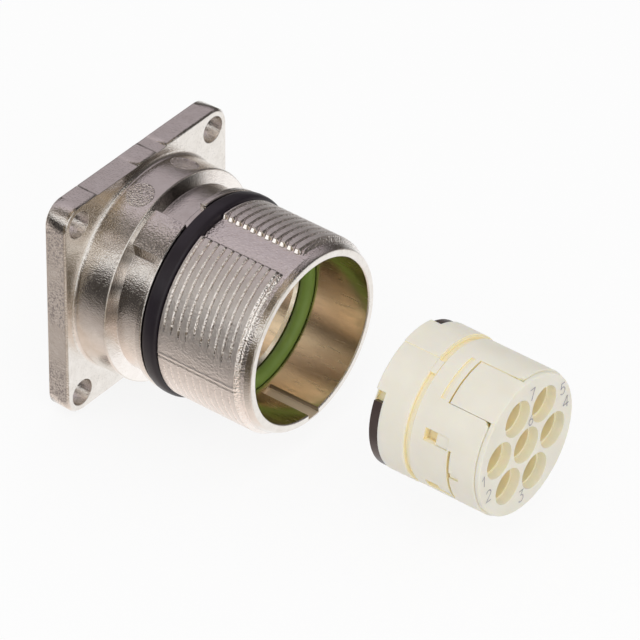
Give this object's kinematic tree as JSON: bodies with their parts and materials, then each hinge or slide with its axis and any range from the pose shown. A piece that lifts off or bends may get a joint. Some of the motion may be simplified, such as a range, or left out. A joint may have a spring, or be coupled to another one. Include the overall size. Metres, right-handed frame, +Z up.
{
  "type": "circular connector receptacle",
  "caption": "Flanged circular connector receptacle with an outside coupling thread, a seal in its mouth and a contact insert that slides out of the front along its axis.",
  "frame": {"origin": "centre of the flange's panel face, on the connector axis", "axes": "+X along the connector axis out of the mouth, +Z up, flange edges along Y and Z"},
  "size_m": [0.0544, 0.0274, 0.0274],
  "materials": {
    "nickel_plate": "bright nickel over a slightly pebbly casting",
    "black_rubber": "smooth rubber with a faint sheen",
    "green_rubber": "smooth moulded rubber",
    "ivory_plastic": "satin moulded plastic, slightly translucent",
    "dark_ring": "dark satin spring ring"
  },
  "bodies": {
    "shell": {"housing": "nickel_plate", "coupling_o_ring": "black_rubber", "mating_seal": "green_rubber", "panel_o_ring": "black_rubber"},
    "insert": {"contact_carrier": "ivory_plastic", "insert_body": "ivory_plastic", "lock_ring": "dark_ring"}
  },
  "joints": [
    {"name": "insert_slide", "type": "slide", "parent": "shell", "child": "insert", "axis": [1, 0, 0], "range_m": [-0.0368, 0]}
  ]
}
